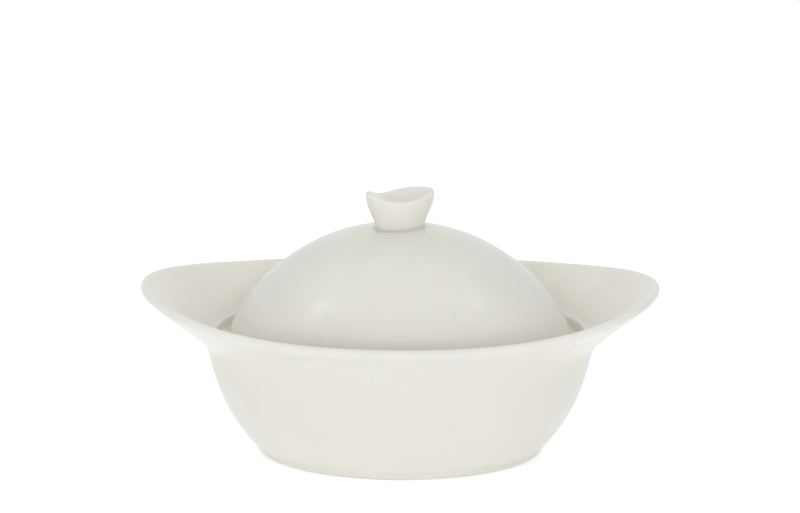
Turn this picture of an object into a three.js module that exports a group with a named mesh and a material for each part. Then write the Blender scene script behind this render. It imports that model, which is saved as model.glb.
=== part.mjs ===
// Oval porcelain cocotte: a footed dish whose flared rim draws out into two handles, and a domed lid.
// Millimetres, +Z up. The origin is the centre of the foot's underside, and +X runs along the length.
import * as THREE from "three";
import { mergeVertices } from "three/addons/utils/BufferGeometryUtils.js";

// Mouth of the dish, where the inner wall meets the flat ledge that carries the lid.
const MOUTH_LENGTH = 120;
const MOUTH_WIDTH = 72;
const MOUTH_EDGE_RADIUS = 1;
const LEDGE_HEIGHT = 42.6;

// The lid's edge reaches this far past the mouth, and stands clear of the step that rings the ledge.
const LID_BEARING = 3.3;
const LID_END_CLEARANCE = 4.6;
const LID_SIDE_CLEARANCE = 3.4;
const STEP_HEIGHT = 4.4;
const STEP_RADIUS = 1.2;

// Inside of the bowl: the floor, and the wide fillet that carries it up into the wall.
const FLOOR_THICKNESS = 5.5;
const BOWL_FILLET = 18;

// Foot ring, set in from the neck: its rounded side turns up to this slope, and it has a shallow recess inside.
const FOOT_END_INSET = 18.3;
const FOOT_SIDE_INSET = 14.4;
const FOOT_EDGE_RADIUS = 3.5;
const FOOT_RING_WIDTH = 7.4;
const FOOT_RECESS = 1.6;
const FOOT_TOP_DEG = 75;

// Outer wall and the neck under the rim, which is level with the ledge at the ends and rises at the sides.
const END_NECK_WALL = 3.6;
const SIDE_NECK_WALL = 3.8;
const SIDE_NECK_RISE = 5.4;
const NECK_ROUNDING = 2.7;
const WALL_DEG_AT_FOOT = 51;
const WALL_DEG_AT_NECK = 77.5;

// Flared rim: how far the middle of the lip stands outside the neck, and the lip's top above the ledge.
const END_FLARE = 22.2;
const SIDE_FLARE = 3;
const END_RIM_RISE = 23.3;
const SIDE_RIM_RISE = 15.8;
const LIP_RADIUS = 1.6;
const FLARE_CURL_DEG = 10;

// Lid dome, from the ledge up to the flat pad that carries the knob.
const DOME_RISE = 45.2;
const DOME_WALL = 4.2;
const DOME_EDGE_RADIUS = 0.9;
const DOME_DEG_AT_PAD = 6;
const DOME_CROWN_FULLNESS = 0.625;
const DOME_EDGE_FULLNESS = 0.24;

// Knob: neck, flared lip with two raised horns, and dished top, turned a little off the lid's length.
const KNOB_NECK_LENGTH = 17.2;
const KNOB_NECK_WIDTH = 8.4;
const KNOB_END_FLARE = 3;
const KNOB_SIDE_FLARE = 1.9;
const KNOB_SIDE_HEIGHT = 11.5;
const KNOB_HORN_HEIGHT = 14;
const KNOB_LIP_RADIUS = 1;
const KNOB_DISH_DEPTH = 1.4;
const KNOB_DISH_DEG = 25;
const KNOB_DEG_AT_NECK = 72;
const KNOB_TURN_DEG = 10;
const KNOB_DIP_SKEW_DEG = 36;

const GLAZE_COLOUR = 0xe8e6dc;
const GLAZE_ROUGHNESS = 0.18;

// How closely the curves are faceted.
const DISH_FACETS = 64;
const LID_FACETS = 64;
const KNOB_FACETS = 48;
const CURVE_STEPS = 8;
const ROUND_STEPS = 4;

// Length of a curve's handles as a share of its chord, and how late the rim rises from the sides to the ends.
const HANDLE_SHARE = 0.38;
const RIM_BLEND_POWER = 3.2;

// Sizes towards the ends of the oval and towards its sides, reached outwards from the upright axis.
const endways = {
  mouth: MOUTH_LENGTH / 2,
  clearance: LID_END_CLEARANCE,
  neckWall: END_NECK_WALL,
  neckHeight: LEDGE_HEIGHT,
  footInset: FOOT_END_INSET,
  flare: END_FLARE,
  rimRise: END_RIM_RISE,
  knobNeck: KNOB_NECK_LENGTH / 2,
  knobFlare: KNOB_END_FLARE,
  knobHeight: KNOB_HORN_HEIGHT,
};
const sideways = {
  mouth: MOUTH_WIDTH / 2,
  clearance: LID_SIDE_CLEARANCE,
  neckWall: SIDE_NECK_WALL,
  neckHeight: LEDGE_HEIGHT + SIDE_NECK_RISE,
  footInset: FOOT_SIDE_INSET,
  flare: SIDE_FLARE,
  rimRise: SIDE_RIM_RISE,
  knobNeck: KNOB_NECK_WIDTH / 2,
  knobFlare: KNOB_SIDE_FLARE,
  knobHeight: KNOB_SIDE_HEIGHT,
};
for (const way of [endways, sideways]) {
  way.lid = way.mouth + LID_BEARING;
  way.step = way.lid + way.clearance;
  way.neck = way.step + way.neckWall;
  way.foot = way.neck - way.footInset;
}

// Profiles are lists of [reach, height] points, from the axis below, round the outside, to the axis above.
function along([reach, height], deg, length) {
  const turn = THREE.MathUtils.degToRad(deg);
  return [reach + length * Math.cos(turn), height + length * Math.sin(turn)];
}

function headingDeg(from, to) {
  return THREE.MathUtils.radToDeg(Math.atan2(to[1] - from[1], to[0] - from[0]));
}

function bezier(corners, steps) {
  const path = new THREE.CubicBezierCurve(...corners.map(([x, y]) => new THREE.Vector2(x, y)));
  return path.getPoints(steps).map(({ x, y }) => [x, y]);
}

// A curve that leaves one point at one heading and reaches the next point at another.
function curve(from, fromDeg, to, toDeg, steps = CURVE_STEPS) {
  const handle = HANDLE_SHARE * Math.hypot(to[0] - from[0], to[1] - from[1]);
  return bezier([from, along(from, fromDeg, handle), along(to, toDeg, -handle), to], steps);
}

// A round corner from one bearing off its centre to another.
function round(centre, radius, fromDeg, toDeg) {
  const bearing = (i) => fromDeg + ((toDeg - fromDeg) * i) / ROUND_STEPS;
  return Array.from({ length: ROUND_STEPS + 1 }, (_, i) => along(centre, bearing(i), radius));
}

// An oval solid with one profile towards its ends and another towards its sides, blended round the axis.
function ovalSolid(profile, facets, endShare) {
  const endPoints = profile(endways);
  const sidePoints = profile(sideways);
  const solid = new THREE.LatheGeometry(endPoints.map(([x, y]) => new THREE.Vector2(x, y)), facets);
  const position = solid.getAttribute("position");
  for (let i = 0; i < position.count; i++) {
    const facet = Math.floor(i / endPoints.length) % facets;
    const turn = (2 * Math.PI * facet) / facets;
    const [endReach, endHeight] = endPoints[i % endPoints.length];
    const [sideReach, sideHeight] = sidePoints[i % endPoints.length];
    const height = THREE.MathUtils.lerp(sideHeight, endHeight, endShare(turn));
    position.setXYZ(i, endReach * Math.cos(turn), sideReach * Math.sin(turn), height);
  }
  solid.deleteAttribute("normal");
  solid.deleteAttribute("uv");
  return mergeVertices(solid);
}

// How much of the end profile's height a turn about the axis takes: the rim rises towards the handles.
function rimShare(turn) {
  return Math.abs(Math.cos(turn)) ** RIM_BLEND_POWER;
}

// The knob rises to a horn at each end, and the dip between them is pushed aside at the back.
function hornShare(turn) {
  const skew = THREE.MathUtils.degToRad(KNOB_DIP_SKEW_DEG) * Math.max(Math.sin(turn), 0) ** 2;
  return Math.cos(turn - skew) ** 2;
}

function porcelain() {
  return new THREE.MeshStandardMaterial({ color: GLAZE_COLOUR, roughness: GLAZE_ROUGHNESS, metalness: 0 });
}

function porcelainMesh(name, profile, facets, endShare) {
  const mesh = new THREE.Mesh(ovalSolid(profile, facets, endShare), porcelain());
  mesh.name = name;
  return mesh;
}

function dishOutside(way) {
  const ring = way.foot - FOOT_RING_WIDTH;
  const footReach = FOOT_EDGE_RADIUS * Math.sin(THREE.MathUtils.degToRad(FOOT_TOP_DEG));
  const footMiddle = [way.foot - footReach, FOOT_EDGE_RADIUS];
  const footSide = round(footMiddle, FOOT_EDGE_RADIUS, -90, FOOT_TOP_DEG - 90);
  const neck = [way.neck, way.neckHeight];
  const lipMiddle = [way.neck + way.flare, LEDGE_HEIGHT + way.rimRise - LIP_RADIUS];
  const flareDeg = headingDeg(neck, lipMiddle);
  const neckBelow = along(neck, WALL_DEG_AT_NECK, -NECK_ROUNDING);
  const neckAbove = along(neck, flareDeg, NECK_ROUNDING);
  const lip = round(lipMiddle, LIP_RADIUS, flareDeg - 90, flareDeg + 90);
  return [
    [0, FOOT_RECESS],
    [ring - FOOT_RECESS, FOOT_RECESS],
    [ring, 0],
    ...footSide,
    ...curve(footSide.at(-1), WALL_DEG_AT_FOOT, neckBelow, WALL_DEG_AT_NECK).slice(1),
    ...curve(neckBelow, WALL_DEG_AT_NECK, neckAbove, flareDeg, ROUND_STEPS).slice(1),
    ...curve(neckAbove, flareDeg, lip[0], flareDeg).slice(1),
    ...lip.slice(1),
  ];
}

function dishInside(way, lipEdge) {
  const stepTop = LEDGE_HEIGHT + STEP_HEIGHT;
  const stepEdge = [way.step + STEP_RADIUS, stepTop];
  const rimDeg = headingDeg(lipEdge, stepEdge);
  const mouthEdge = [way.mouth + MOUTH_EDGE_RADIUS, LEDGE_HEIGHT - MOUTH_EDGE_RADIUS];
  const wallTop = [way.mouth, LEDGE_HEIGHT - MOUTH_EDGE_RADIUS];
  const floorHeight = FOOT_RECESS + FLOOR_THICKNESS;
  const floorEdge = [way.mouth - Math.min(BOWL_FILLET, way.mouth), floorHeight];
  return [
    ...curve(lipEdge, rimDeg - FLARE_CURL_DEG, stepEdge, rimDeg + FLARE_CURL_DEG).slice(1),
    ...round([way.step + STEP_RADIUS, stepTop - STEP_RADIUS], STEP_RADIUS, 90, 180),
    ...round([way.step - STEP_RADIUS, LEDGE_HEIGHT + STEP_RADIUS], STEP_RADIUS, 0, -90),
    ...round(mouthEdge, MOUTH_EDGE_RADIUS, 90, 180),
    ...curve(wallTop, -90, floorEdge, -180).slice(1),
    [0, floorHeight],
  ];
}

function dishProfile(way) {
  const outside = dishOutside(way);
  return [...outside, ...dishInside(way, outside.at(-1))];
}

// One face of the dome, rising upright from its edge and easing over to the pad.
function domeCurve(edge, pad) {
  const run = edge[0] - pad[0];
  const edgeHandle = [edge[0], edge[1] + DOME_EDGE_FULLNESS * (pad[1] - edge[1])];
  const padHandle = along(pad, -DOME_DEG_AT_PAD, DOME_CROWN_FULLNESS * run);
  return bezier([edge, edgeHandle, padHandle, pad], CURVE_STEPS);
}

function domeProfile(way) {
  const padHeight = LEDGE_HEIGHT + DOME_RISE;
  const outer = [way.lid, LEDGE_HEIGHT + DOME_EDGE_RADIUS];
  const inner = [way.lid - DOME_WALL, LEDGE_HEIGHT + DOME_EDGE_RADIUS];
  const ceiling = [way.knobNeck, padHeight - DOME_WALL];
  return [
    [0, padHeight - DOME_WALL],
    ...domeCurve(inner, ceiling).reverse(),
    ...round([inner[0] + DOME_EDGE_RADIUS, inner[1]], DOME_EDGE_RADIUS, -180, -90).slice(1),
    ...round([outer[0] - DOME_EDGE_RADIUS, outer[1]], DOME_EDGE_RADIUS, -90, 0),
    ...domeCurve(outer, [way.knobNeck, padHeight]).slice(1),
    [0, padHeight],
  ];
}

function knobProfile(way) {
  const lipMiddle = [way.knobNeck + way.knobFlare, way.knobHeight - KNOB_LIP_RADIUS];
  const lip = round(lipMiddle, KNOB_LIP_RADIUS, 0, 90 + KNOB_DISH_DEG);
  const dished = [0, KNOB_SIDE_HEIGHT - KNOB_DISH_DEPTH];
  return [
    [0, 0],
    ...curve([way.knobNeck, 0], KNOB_DEG_AT_NECK, lip[0], 90),
    ...lip.slice(1),
    ...curve(lip.at(-1), 180 + KNOB_DISH_DEG, dished, 180).slice(1),
  ];
}

const dish = porcelainMesh("dish", dishProfile, DISH_FACETS, rimShare);
const lidDome = porcelainMesh("lid_dome", domeProfile, LID_FACETS, rimShare);
const lidKnob = porcelainMesh("lid_knob", knobProfile, KNOB_FACETS, hornShare);
lidKnob.position.z = LEDGE_HEIGHT + DOME_RISE;
lidKnob.rotation.z = THREE.MathUtils.degToRad(KNOB_TURN_DEG);

const lid = new THREE.Group();
lid.add(lidDome, lidKnob);

const cocotte = new THREE.Group();
cocotte.add(dish, lid);

export default cocotte;
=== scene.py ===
# Smooth glazed pieces for the oval porcelain cocotte, with a white floor, studio light and the camera.
# Metres, +Z up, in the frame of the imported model: the origin is the centre of the foot's underside.
import math
from collections import namedtuple
from types import SimpleNamespace

import bpy
import numpy as np
from mathutils import Matrix, Vector


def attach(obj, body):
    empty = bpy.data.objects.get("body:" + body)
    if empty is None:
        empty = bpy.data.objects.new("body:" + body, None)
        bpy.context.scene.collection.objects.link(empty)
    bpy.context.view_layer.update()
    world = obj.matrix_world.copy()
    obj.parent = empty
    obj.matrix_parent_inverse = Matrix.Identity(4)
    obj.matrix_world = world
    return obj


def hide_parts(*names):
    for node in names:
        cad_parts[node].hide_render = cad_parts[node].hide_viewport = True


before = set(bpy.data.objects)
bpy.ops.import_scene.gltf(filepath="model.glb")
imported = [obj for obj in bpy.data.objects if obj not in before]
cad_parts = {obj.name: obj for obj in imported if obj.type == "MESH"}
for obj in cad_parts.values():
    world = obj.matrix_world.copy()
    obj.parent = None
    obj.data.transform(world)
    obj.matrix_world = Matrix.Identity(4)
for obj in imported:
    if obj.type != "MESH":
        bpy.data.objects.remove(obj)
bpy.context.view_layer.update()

MM = 0.001

# Mouth of the dish, where the inner wall meets the flat ledge that carries the lid.
MOUTH_LENGTH = 120 * MM
MOUTH_WIDTH = 72 * MM
MOUTH_EDGE_RADIUS = 1 * MM
LEDGE_HEIGHT = 42.6 * MM

# The lid's edge reaches this far past the mouth, and stands clear of the step that rings the ledge.
LID_BEARING = 3.3 * MM
LID_END_CLEARANCE = 4.6 * MM
LID_SIDE_CLEARANCE = 3.4 * MM
STEP_HEIGHT = 4.4 * MM
STEP_RADIUS = 1.2 * MM

# Inside of the bowl: the floor, and the wide fillet that carries it up into the wall.
FLOOR_THICKNESS = 5.5 * MM
BOWL_FILLET = 18 * MM

# Foot ring, set in from the neck: its rounded side turns up to this slope and blends softly into the
# wall, and it has a shallow recess inside.
FOOT_END_INSET = 18.3 * MM
FOOT_SIDE_INSET = 14.4 * MM
FOOT_EDGE_RADIUS = 3.5 * MM
FOOT_RING_WIDTH = 7.4 * MM
FOOT_RECESS = 1.6 * MM
FOOT_TOP_DEG = 75
FOOT_INNER_BLEND = 0.7 * MM
FOOT_WALL_BLEND = 4 * MM

# Outer wall and the neck under the rim, level with the ledge at the ends and higher at the sides.
END_NECK_WALL = 3.6 * MM
SIDE_NECK_WALL = 3.8 * MM
SIDE_NECK_RISE = 5.4 * MM
NECK_ROUNDING = 2.7 * MM
WALL_DEG_AT_FOOT = 51
WALL_DEG_AT_NECK = 77.5

# Flared rim: how far the middle of the lip stands outside the neck, and the lip's top above the ledge.
# The smooth lip is set in a little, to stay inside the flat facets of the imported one.
END_FLARE = 22.2 * MM
SIDE_FLARE = 3 * MM
END_RIM_RISE = 23.3 * MM
SIDE_RIM_RISE = 15.8 * MM
LIP_RADIUS = 1.6 * MM
LIP_INSET = 0.1 * MM
FLARE_CURL_DEG = 10

# Lid dome, from the ledge up to the flat pad that carries the knob.
DOME_RISE = 45.2 * MM
DOME_WALL = 4.2 * MM
DOME_EDGE_RADIUS = 0.9 * MM
DOME_DEG_AT_PAD = 6
DOME_CROWN_FULLNESS = 0.625
DOME_EDGE_FULLNESS = 0.24

# Knob: neck, flared lip with two raised horns, and dished top, turned a little off the lid's length.
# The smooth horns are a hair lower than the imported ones.
KNOB_NECK_LENGTH = 17.2 * MM
KNOB_NECK_WIDTH = 8.4 * MM
KNOB_END_FLARE = 3 * MM
KNOB_SIDE_FLARE = 1.9 * MM
KNOB_SIDE_HEIGHT = 11.5 * MM
KNOB_HORN_HEIGHT = 14 * MM
HORN_INSET = 0.01 * MM
KNOB_LIP_RADIUS = 1 * MM
KNOB_DISH_DEPTH = 1.4 * MM
KNOB_DISH_DEG = 25
KNOB_DEG_AT_NECK = 72
KNOB_TURN_DEG = 10
KNOB_DIP_SKEW_DEG = 36

# Slip joint under the knob: a small fillet, sunk a little so that it meets the curved dome all round.
SLIP_FILLET = 1.1 * MM
SLIP_SINK = 0.35 * MM

# How finely the curves are divided, and how near two points of a profile are to count as one.
DISH_FACETS = 256
LID_FACETS = 256
KNOB_FACETS = 160
CURVE_STEPS = 24
ROUND_STEPS = 10
WELD = 0.001 * MM

# Length of a curve's handles as a share of its chord, and how late the rim rises towards the ends.
HANDLE_SHARE = 0.38
RIM_BLEND_POWER = 3.2

# Glaze: its colour, also lighter on edges and darker in hollows, its gloss and its clear skin.
GLAZE_COLOUR = (0.86, 0.847, 0.787)
GLAZE_DEEP = (0.845, 0.832, 0.768)
# Lighter on edges: partly thin glaze, partly a painted highlight.
THIN_GLAZE_AND_PAINTED_HIGHLIGHT = (0.865, 0.852, 0.795)
# Darker in hollows: partly pooled glaze, partly painted shade.
POOLED_GLAZE_AND_PAINTED_SHADE = (0.84, 0.828, 0.768)
GLAZE_ROUGHNESS = (0.28, 0.34)
GLAZE_IOR = 1.45
CLEAR_SKIN = 0.25
CLEAR_SKIN_ROUGHNESS = 0.14

# Patterns in the glaze: painted highlight and painted shade at creases, soft mottling, patches of gloss
# and a fine ripple. Marks are where a pattern begins to show and where it is full.
CREASE_FULL_RADIUS = 1.2 * MM
CREASE_MARKS = (0.1, 1)
MOTTLE_SIZE = 16 * MM
MOTTLE_DETAIL = 4
MOTTLE_MARKS = (0.35, 0.65)
GLOSS_PATCH_SIZE = MOTTLE_SIZE / 2
GLOSS_PATCH_DETAIL = 3
RIPPLE_SIZE = 2.6 * MM
RIPPLE_DETAIL = 1
RIPPLE_DEPTH = 0.012 * MM

# Porcelain lets some light through: how much, and how far red, green and blue reach into it.
TRANSLUCENCE = 0.5
LIGHT_DEPTH = 4 * MM
LIGHT_REACH = (1, 0.95, 0.9)

# Bare clay under the foot and on the lid's bearing edge, up to a wavering glaze line.
CLAY_COLOUR = (0.7, 0.665, 0.58)
CLAY_ROUGHNESS = 0.8
CLAY_GRAIN_SIZE = 0.35 * MM
CLAY_GRAIN_DETAIL = 3
CLAY_GRAIN_DEPTH = 0.03 * MM
GLAZE_LINE_HEIGHT = 0.35 * MM
GLAZE_LINE_WAVER = 0.25 * MM
GLAZE_LINE_WAVE_SIZE = 9 * MM
GLAZE_LINE_WAVE_DETAIL = 2

# White floor: a light table that glows a little, shaded near the object and plain white further out.
FLOOR_HALF_WIDTH = 8
FLOOR_COLOUR = (0.95, 0.95, 0.95)
FLOOR_GLOW = 0.14
FLOOR_GLOW_SEEN = 0.4
FLOOR_SHADED_RADIUS = 0.2
FLOOR_WHITE_RADIUS = 0.5

# Studio light: a surround that is dim at the sides, brighter overhead and brightest in front and behind,
# and two bulbs that show as soft spots in the glaze.
WHITE = (1, 1, 1, 1)
SURROUND_LEVEL_SIDES = 0.15
SURROUND_LEVEL_TOP = 1.15
SURROUND_LEVEL_FRONT = 2.3
SURROUND_FALLOFF = 4
Lamp = namedtuple("Lamp", "name bearing_deg elevation_deg distance size watts")
LAMPS = (
    Lamp("bulb_left", -52, 36, 1.5, 0.24, 0.9),
    Lamp("bulb_right", 53, 42, 1.5, 0.28, 0.6),
)

# Camera: the photograph's bearing, height and framing.
CAMERA_BEARING_DEG = 1.2
CAMERA_ELEVATION_DEG = 20
CAMERA_DISTANCE = 1.6
CAMERA_TARGET = Vector((0, 0, 0.0761))
CAMERA_SENSOR = 36
IMAGE_WIDTH_PX = 800
FOCAL_LENGTH_PX = 4370

# Sockets of the mix node by number, because its sets for values and for colours share their names.
MIX_SHARE = 0
MIX_VALUES = (2, 3)
MIX_VALUE_OUT = 0
MIX_COLOURS = (6, 7)
MIX_COLOUR_OUT = 2

# Sizes towards the ends of the oval and towards its sides, reached outwards from the upright axis.
endways = SimpleNamespace(
    mouth=MOUTH_LENGTH / 2,
    clearance=LID_END_CLEARANCE,
    neck_wall=END_NECK_WALL,
    neck_height=LEDGE_HEIGHT,
    foot_inset=FOOT_END_INSET,
    flare=END_FLARE,
    rim_rise=END_RIM_RISE,
    knob_neck=KNOB_NECK_LENGTH / 2,
    knob_flare=KNOB_END_FLARE,
    knob_height=KNOB_HORN_HEIGHT - HORN_INSET,
)
sideways = SimpleNamespace(
    mouth=MOUTH_WIDTH / 2,
    clearance=LID_SIDE_CLEARANCE,
    neck_wall=SIDE_NECK_WALL,
    neck_height=LEDGE_HEIGHT + SIDE_NECK_RISE,
    foot_inset=FOOT_SIDE_INSET,
    flare=SIDE_FLARE,
    rim_rise=SIDE_RIM_RISE,
    knob_neck=KNOB_NECK_WIDTH / 2,
    knob_flare=KNOB_SIDE_FLARE,
    knob_height=KNOB_SIDE_HEIGHT,
)
for way in (endways, sideways):
    way.lid = way.mouth + LID_BEARING
    way.step = way.lid + way.clearance
    way.neck = way.step + way.neck_wall
    way.foot = way.neck - way.foot_inset


# Profiles are lists of (reach, height) points from the axis below, round the outside, to the axis above.
def along(point, deg, length):
    turn = math.radians(deg)
    return point[0] + length * math.cos(turn), point[1] + length * math.sin(turn)


def heading_deg(start, end):
    return math.degrees(math.atan2(end[1] - start[1], end[0] - start[0]))


def bezier(corners, steps=CURVE_STEPS):
    a, b, c, d = (np.array(corner) for corner in corners)
    t = np.linspace(0, 1, steps + 1)[:, None]
    points = (1 - t) ** 3 * a + 3 * (1 - t) ** 2 * t * b + 3 * (1 - t) * t**2 * c + t**3 * d
    return [tuple(point) for point in points]


def curve(start, start_deg, end, end_deg, steps=CURVE_STEPS):
    """A curve that leaves one point at one heading and reaches the next point at another."""
    handle = HANDLE_SHARE * math.dist(start, end)
    return bezier([start, along(start, start_deg, handle), along(end, end_deg, -handle), end], steps)


def rounded(centre, radius, from_deg, to_deg):
    """A round corner from one bearing off its centre to another."""
    return [along(centre, deg, radius) for deg in np.linspace(from_deg, to_deg, ROUND_STEPS + 1)]


def joined(*stretches):
    """Stretches of a profile as one list, without a point that repeats the one before it."""
    points = []
    for point in (point for stretch in stretches for point in stretch):
        if not points or math.dist(points[-1], point) > WELD:
            points.append(point)
    return points


def dish_outside(way):
    ring = way.foot - FOOT_RING_WIDTH
    foot_middle = (way.foot - FOOT_EDGE_RADIUS * math.sin(math.radians(FOOT_TOP_DEG)), FOOT_EDGE_RADIUS)
    foot_side = rounded(foot_middle, FOOT_EDGE_RADIUS, -90, FOOT_TOP_DEG - 90)
    recess_edge = (ring - FOOT_RECESS - FOOT_INNER_BLEND, FOOT_RECESS)
    wall_start = along(foot_side[-1], WALL_DEG_AT_FOOT, FOOT_WALL_BLEND)
    neck = (way.neck, way.neck_height)
    lip_middle = (way.neck + way.flare - LIP_INSET, LEDGE_HEIGHT + way.rim_rise - LIP_RADIUS)
    flare_deg = heading_deg(neck, lip_middle)
    neck_below = along(neck, WALL_DEG_AT_NECK, -NECK_ROUNDING)
    neck_above = along(neck, flare_deg, NECK_ROUNDING)
    lip = rounded(lip_middle, LIP_RADIUS, flare_deg - 90, flare_deg + 90)
    return joined(
        [(0, FOOT_RECESS)],
        curve(recess_edge, 0, (ring + FOOT_INNER_BLEND, 0), 0, ROUND_STEPS),
        foot_side,
        curve(foot_side[-1], FOOT_TOP_DEG, wall_start, WALL_DEG_AT_FOOT, ROUND_STEPS),
        curve(wall_start, WALL_DEG_AT_FOOT, neck_below, WALL_DEG_AT_NECK),
        curve(neck_below, WALL_DEG_AT_NECK, neck_above, flare_deg, ROUND_STEPS),
        curve(neck_above, flare_deg, lip[0], flare_deg),
        lip,
    )


def dish_inside(way, lip_edge):
    step_top = LEDGE_HEIGHT + STEP_HEIGHT
    step_edge = (way.step + STEP_RADIUS, step_top)
    rim_deg = heading_deg(lip_edge, step_edge)
    wall_top = (way.mouth, LEDGE_HEIGHT - MOUTH_EDGE_RADIUS)
    floor_height = FOOT_RECESS + FLOOR_THICKNESS
    floor_edge = (way.mouth - min(BOWL_FILLET, way.mouth), floor_height)
    return joined(
        curve(lip_edge, rim_deg - FLARE_CURL_DEG, step_edge, rim_deg + FLARE_CURL_DEG),
        rounded((way.step + STEP_RADIUS, step_top - STEP_RADIUS), STEP_RADIUS, 90, 180),
        rounded((way.step - STEP_RADIUS, LEDGE_HEIGHT + STEP_RADIUS), STEP_RADIUS, 0, -90),
        rounded((way.mouth + MOUTH_EDGE_RADIUS, wall_top[1]), MOUTH_EDGE_RADIUS, 90, 180),
        curve(wall_top, -90, floor_edge, -180),
        [(0, floor_height)],
    )


def dish_profile(way):
    outside = dish_outside(way)
    return joined(outside, dish_inside(way, outside[-1]))


def dome_curve(edge, pad):
    """One face of the dome, rising upright from its edge and easing over to the pad."""
    edge_handle = (edge[0], edge[1] + DOME_EDGE_FULLNESS * (pad[1] - edge[1]))
    pad_handle = along(pad, -DOME_DEG_AT_PAD, DOME_CROWN_FULLNESS * (edge[0] - pad[0]))
    return bezier([edge, edge_handle, pad_handle, pad])


def dome_profile(way):
    pad_height = LEDGE_HEIGHT + DOME_RISE
    outer = (way.lid, LEDGE_HEIGHT + DOME_EDGE_RADIUS)
    inner = (way.lid - DOME_WALL, LEDGE_HEIGHT + DOME_EDGE_RADIUS)
    ceiling = (way.knob_neck, pad_height - DOME_WALL)
    return joined(
        [(0, pad_height - DOME_WALL)],
        dome_curve(inner, ceiling)[::-1],
        rounded((inner[0] + DOME_EDGE_RADIUS, inner[1]), DOME_EDGE_RADIUS, -180, -90),
        rounded((outer[0] - DOME_EDGE_RADIUS, outer[1]), DOME_EDGE_RADIUS, -90, 0),
        dome_curve(outer, (way.knob_neck, pad_height)),
        [(0, pad_height)],
    )


def knob_profile(way):
    fillet_reach = way.knob_neck + SLIP_FILLET / math.tan(math.radians(KNOB_DEG_AT_NECK / 2))
    fillet = rounded((fillet_reach, SLIP_FILLET - SLIP_SINK), SLIP_FILLET, -90, KNOB_DEG_AT_NECK - 270)
    lip_middle = (way.knob_neck + way.knob_flare, way.knob_height - KNOB_LIP_RADIUS)
    lip = rounded(lip_middle, KNOB_LIP_RADIUS, 0, 90 + KNOB_DISH_DEG)
    dished = (0, KNOB_SIDE_HEIGHT - KNOB_DISH_DEPTH)
    return joined(
        [(0, -SLIP_SINK)],
        fillet,
        curve(fillet[-1], KNOB_DEG_AT_NECK, lip[0], 90),
        lip,
        curve(lip[-1], 180 + KNOB_DISH_DEG, dished, 180),
    )


def rim_share(turn):
    """How much of the end profile's height each turn takes: the rim rises towards the handles."""
    return np.abs(np.cos(turn)) ** RIM_BLEND_POWER


def horn_share(turn):
    """The knob rises to a horn at each end, and the dip between them is pushed aside at the back."""
    skew = math.radians(KNOB_DIP_SKEW_DEG) * np.maximum(np.sin(turn), 0) ** 2
    return np.cos(turn - skew) ** 2


def creases(points):
    """How sharply a profile bends at each point, 1 on a full edge and -1 in a full hollow."""
    steps = np.diff(points, axis=0)
    headings = np.unwrap(np.arctan2(steps[:, 1], steps[:, 0]))
    lengths = np.hypot(steps[:, 0], steps[:, 1])
    bends = np.diff(headings) / ((lengths[1:] + lengths[:-1]) / 2)
    return np.clip(np.pad(bends, 1) * CREASE_FULL_RADIUS, -1, 1)


def oval_mesh(name, profile, facets, end_share):
    """A closed mesh that blends from one profile at its ends to another at its sides."""
    ends = np.array(profile(endways))
    sides = np.array(profile(sideways))
    turns = 2 * math.pi * np.arange(facets) / facets
    x = np.outer(ends[:, 0], np.cos(turns))
    y = np.outer(sides[:, 0], np.sin(turns))
    z = sides[:, 1:] + np.outer(ends[:, 1] - sides[:, 1], end_share(turns))
    rings = np.stack([x, y, z], axis=-1)[1:-1]
    points = np.vstack([rings.reshape(-1, 3), [(0, 0, ends[0, 1]), (0, 0, ends[-1, 1])]])
    bottom, top = len(points) - 2, len(points) - 1
    last = len(rings) - 1
    faces = []
    for here in range(facets):
        after = (here + 1) % facets
        faces.append((bottom, after, here))
        faces.append((top, last * facets + here, last * facets + after))
        for low in range(0, last * facets, facets):
            faces.append((low + here, low + after, low + facets + after, low + facets + here))
    mesh = bpy.data.meshes.new(name)
    mesh.from_pydata(points.tolist(), [], faces)
    bends = (creases(ends) + creases(sides)) / 2
    crease = mesh.attributes.new("crease", "FLOAT", "POINT")
    crease.data.foreach_set("value", np.append(np.repeat(bends[1:-1], facets), [0, 0]))
    mesh.shade_smooth()
    return mesh


def piece(name, mesh, material, body, node):
    """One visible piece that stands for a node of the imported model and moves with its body."""
    thing = bpy.data.objects.new(name, mesh)
    bpy.context.scene.collection.objects.link(thing)
    mesh.materials.append(material)
    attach(thing, body)
    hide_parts(node)


def add_node(tree, kind, inputs=None, **settings):
    """A shader node with its settings, and its inputs as values or as links from other nodes."""
    node = tree.nodes.new(kind)
    for key, value in settings.items():
        setattr(node, key, value)
    for key, value in (inputs or {}).items():
        if isinstance(value, bpy.types.NodeSocket):
            tree.links.new(value, node.inputs[key])
        else:
            node.inputs[key].default_value = value
    return node


def noise(tree, place, size, detail):
    """Even noise from 0 to 1, with features of about the given size."""
    inputs = {"Vector": place, "Scale": 1 / size, "Detail": detail}
    return add_node(tree, "ShaderNodeTexNoise", inputs).outputs["Fac"]


def ramp(tree, value, low, high):
    """0 where a value is at or before the low mark, 1 at or past the high one, and smooth between."""
    inputs = {"Value": value, "From Min": low, "From Max": high}
    node = add_node(tree, "ShaderNodeMapRange", inputs, interpolation_type="SMOOTHSTEP")
    return node.outputs["Result"]


def math_node(tree, operation, first, second=0.0):
    return add_node(tree, "ShaderNodeMath", {0: first, 1: second}, operation=operation).outputs["Value"]


def mixed_colour(tree, share, first, second):
    """A blend of two colours, each a tuple or another node's output."""
    inputs = {MIX_SHARE: share}
    for socket, colour in zip(MIX_COLOURS, (first, second)):
        inputs[socket] = (*colour, 1) if isinstance(colour, tuple) else colour
    return add_node(tree, "ShaderNodeMix", inputs, data_type="RGBA").outputs[MIX_COLOUR_OUT]


def mixed_value(tree, share, first, second):
    inputs = {MIX_SHARE: share, **dict(zip(MIX_VALUES, (first, second)))}
    return add_node(tree, "ShaderNodeMix", inputs, data_type="FLOAT").outputs[MIX_VALUE_OUT]


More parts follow.
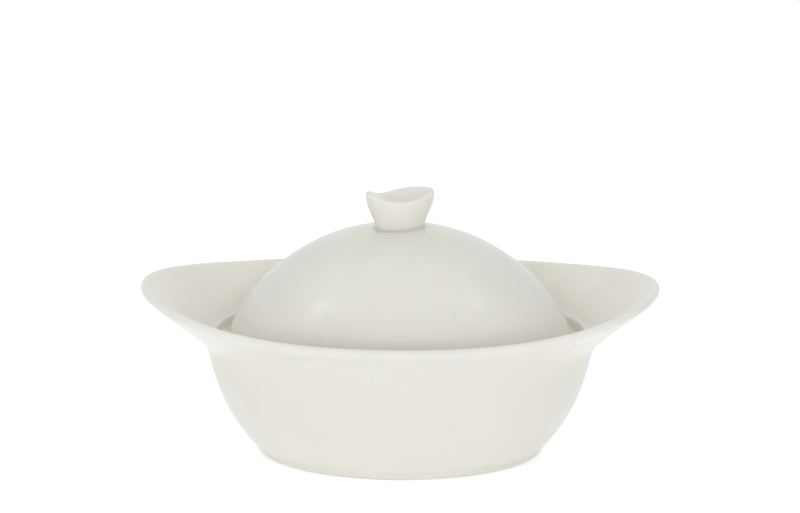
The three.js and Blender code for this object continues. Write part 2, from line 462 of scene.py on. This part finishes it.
def bump(tree, height, depth, below=None):
    """A bumped normal from a height of 0 to 1 that stands for a depth, over another bump if given."""
    inputs = {"Height": height, "Distance": depth, "Strength": 1}
    if below:
        inputs["Normal"] = below
    return add_node(tree, "ShaderNodeBump", inputs).outputs["Normal"]


def new_material(name):
    material = bpy.data.materials.new(name)
    material.use_nodes = True
    material.node_tree.nodes.clear()
    return material, material.node_tree


def porcelain(name, bearing_height):
    """Warm white glaze over pale clay, left bare below a line just above what the piece stands on."""
    material, tree = new_material(name)
    place = add_node(tree, "ShaderNodeTexCoord").outputs["Object"]
    height = add_node(tree, "ShaderNodeSeparateXYZ", {0: place}).outputs["Z"]
    crease = add_node(tree, "ShaderNodeAttribute", attribute_name="crease").outputs["Fac"]

    mottle = ramp(tree, noise(tree, place, MOTTLE_SIZE, MOTTLE_DETAIL), *MOTTLE_MARKS)
    glaze = mixed_colour(tree, mottle, GLAZE_COLOUR, GLAZE_DEEP)
    # Painted highlight on edges: the glaze is lighter where the profile bends outwards, partly as thin
    # glaze.
    edges = ramp(tree, crease, *CREASE_MARKS)
    glaze = mixed_colour(tree, edges, glaze, THIN_GLAZE_AND_PAINTED_HIGHLIGHT)
    # Painted shade in hollows: the glaze is darker where the profile bends inwards, partly as pooled
    # glaze.
    hollows = ramp(tree, crease, *(-mark for mark in CREASE_MARKS))
    glaze = mixed_colour(tree, hollows, glaze, POOLED_GLAZE_AND_PAINTED_SHADE)

    waves = noise(tree, place, GLAZE_LINE_WAVE_SIZE, GLAZE_LINE_WAVE_DETAIL)
    waver = math_node(tree, "MULTIPLY", waves, GLAZE_LINE_WAVER)
    wavered = math_node(tree, "ADD", height, waver)
    line = bearing_height + GLAZE_LINE_HEIGHT
    bare = ramp(tree, wavered, line + GLAZE_LINE_WAVER, line)

    patches = noise(tree, place, GLOSS_PATCH_SIZE, GLOSS_PATCH_DETAIL)
    glaze_gloss = mixed_value(tree, patches, *GLAZE_ROUGHNESS)
    grain = noise(tree, place, CLAY_GRAIN_SIZE, CLAY_GRAIN_DETAIL)
    ripple = bump(tree, noise(tree, place, RIPPLE_SIZE, RIPPLE_DETAIL), RIPPLE_DEPTH)
    grainy = bump(tree, math_node(tree, "MULTIPLY", grain, bare), CLAY_GRAIN_DEPTH, ripple)

    surface = add_node(tree, "ShaderNodeBsdfPrincipled", {
        "Base Color": mixed_colour(tree, bare, glaze, CLAY_COLOUR),
        "Roughness": mixed_value(tree, bare, glaze_gloss, CLAY_ROUGHNESS),
        "IOR": GLAZE_IOR,
        "Subsurface Weight": TRANSLUCENCE,
        "Subsurface Scale": LIGHT_DEPTH,
        "Subsurface Radius": LIGHT_REACH,
        "Coat Weight": CLEAR_SKIN,
        "Coat Roughness": CLEAR_SKIN_ROUGHNESS,
        "Normal": grainy,
    }).outputs["BSDF"]
    add_node(tree, "ShaderNodeOutputMaterial", {"Surface": surface})
    return material


def seen_rays(tree):
    """1 for rays that show a surface, directly or in a reflection, and 0 for rays that carry light."""
    path = add_node(tree, "ShaderNodeLightPath").outputs
    reflected = math_node(tree, "MAXIMUM", path["Is Glossy Ray"], path["Is Transmission Ray"])
    return math_node(tree, "MAXIMUM", path["Is Camera Ray"], reflected)


def white_floor():
    """Pale floor that takes the object's shadow close by and shows as plain white further out."""
    material, tree = new_material("floor_white")
    seen = seen_rays(tree)
    place = add_node(tree, "ShaderNodeTexCoord").outputs["Object"]
    reach = add_node(tree, "ShaderNodeVectorMath", {0: place}, operation="LENGTH").outputs["Value"]
    outer = ramp(tree, reach, FLOOR_SHADED_RADIUS, FLOOR_WHITE_RADIUS)
    far = math_node(tree, "MULTIPLY", outer, seen)
    paint = add_node(tree, "ShaderNodeBsdfDiffuse", {"Color": (*FLOOR_COLOUR, 1)}).outputs["BSDF"]
    glow_strength = mixed_value(tree, seen, FLOOR_GLOW, FLOOR_GLOW_SEEN)
    glow = add_node(tree, "ShaderNodeEmission", {"Strength": glow_strength}).outputs["Emission"]
    near = add_node(tree, "ShaderNodeAddShader", {0: paint, 1: glow}).outputs["Shader"]
    white = add_node(tree, "ShaderNodeEmission").outputs["Emission"]
    surface = add_node(tree, "ShaderNodeMixShader", {0: far, 1: near, 2: white}).outputs["Shader"]
    add_node(tree, "ShaderNodeOutputMaterial", {"Surface": surface})
    return material


def floor():
    w = FLOOR_HALF_WIDTH
    mesh = bpy.data.meshes.new("floor")
    mesh.from_pydata([(-w, -w, 0), (w, -w, 0), (w, w, 0), (-w, w, 0)], [], [(0, 1, 2, 3)])
    mesh.materials.append(white_floor())
    plane = bpy.data.objects.new("floor", mesh)
    bpy.context.scene.collection.objects.link(plane)


def surround():
    """White where it is seen, while its light comes mostly from in front, from behind and from above."""
    world = bpy.data.worlds.new("studio")
    world.use_nodes = True
    bpy.context.scene.world = world
    tree = world.node_tree
    tree.nodes.clear()
    towards = add_node(tree, "ShaderNodeTexCoord").outputs["Generated"]
    parts = add_node(tree, "ShaderNodeSeparateXYZ", {0: towards}).outputs
    ahead = math_node(tree, "POWER", math_node(tree, "ABSOLUTE", parts["Y"]), SURROUND_FALLOFF)
    above = math_node(tree, "POWER", math_node(tree, "MAXIMUM", parts["Z"]), SURROUND_FALLOFF)
    level = mixed_value(tree, ahead, SURROUND_LEVEL_SIDES, SURROUND_LEVEL_FRONT)
    level = mixed_value(tree, above, level, SURROUND_LEVEL_TOP)
    lit = {"Color": WHITE, "Strength": level}
    light = add_node(tree, "ShaderNodeBackground", lit).outputs["Background"]
    white = add_node(tree, "ShaderNodeBackground", {"Color": WHITE}).outputs["Background"]
    seen = seen_rays(tree)
    shown = add_node(tree, "ShaderNodeMixShader", {0: seen, 1: light, 2: white}).outputs["Shader"]
    add_node(tree, "ShaderNodeOutputWorld", {"Surface": shown})


def direction(bearing_deg, elevation_deg):
    """Outwards from the object: bearing 0 is towards the photograph's camera, and 90 towards +X."""
    bearing, elevation = math.radians(bearing_deg), math.radians(elevation_deg)
    level = math.cos(elevation)
    return Vector((math.sin(bearing) * level, -math.cos(bearing) * level, math.sin(elevation)))


def aimed(name, data, target, outwards, distance):
    """A lamp or camera that stands off a target and looks at it."""
    thing = bpy.data.objects.new(name, data)
    bpy.context.scene.collection.objects.link(thing)
    thing.location = target + outwards * distance
    thing.rotation_mode = "QUATERNION"
    thing.rotation_quaternion = (-outwards).to_track_quat("-Z", "Y")
    return thing


def studio():
    surround()
    for lamp in LAMPS:
        light = bpy.data.lights.new(lamp.name, "AREA")
        light.shape = "DISK"
        light.size = lamp.size
        light.energy = lamp.watts
        outwards = direction(lamp.bearing_deg, lamp.elevation_deg)
        aimed(lamp.name, light, CAMERA_TARGET, outwards, lamp.distance)


def camera():
    data = bpy.data.cameras.new("camera")
    data.sensor_width = CAMERA_SENSOR
    data.lens = FOCAL_LENGTH_PX / IMAGE_WIDTH_PX * CAMERA_SENSOR
    outwards = direction(CAMERA_BEARING_DEG, CAMERA_ELEVATION_DEG)
    bpy.context.scene.camera = aimed("camera", data, CAMERA_TARGET, outwards, CAMERA_DISTANCE)


camera()
floor()
studio()

dish_glaze = porcelain("porcelain_dish", 0)
lid_glaze = porcelain("porcelain_lid", LEDGE_HEIGHT)

dish_mesh = oval_mesh("glazed_dish", dish_profile, DISH_FACETS, rim_share)
piece("glazed_dish", dish_mesh, dish_glaze, "dish", "dish")
dome_mesh = oval_mesh("glazed_dome", dome_profile, LID_FACETS, rim_share)
piece("glazed_dome", dome_mesh, lid_glaze, "lid", "lid_dome")
knob_mesh = oval_mesh("glazed_knob", knob_profile, KNOB_FACETS, horn_share)
knob_place = Matrix.Translation((0, 0, LEDGE_HEIGHT + DOME_RISE))
knob_mesh.transform(knob_place @ Matrix.Rotation(math.radians(KNOB_TURN_DEG), 4, "Z"))
piece("glazed_knob", knob_mesh, lid_glaze, "lid", "lid_knob")

bpy.context.scene.view_settings.view_transform = "Standard"
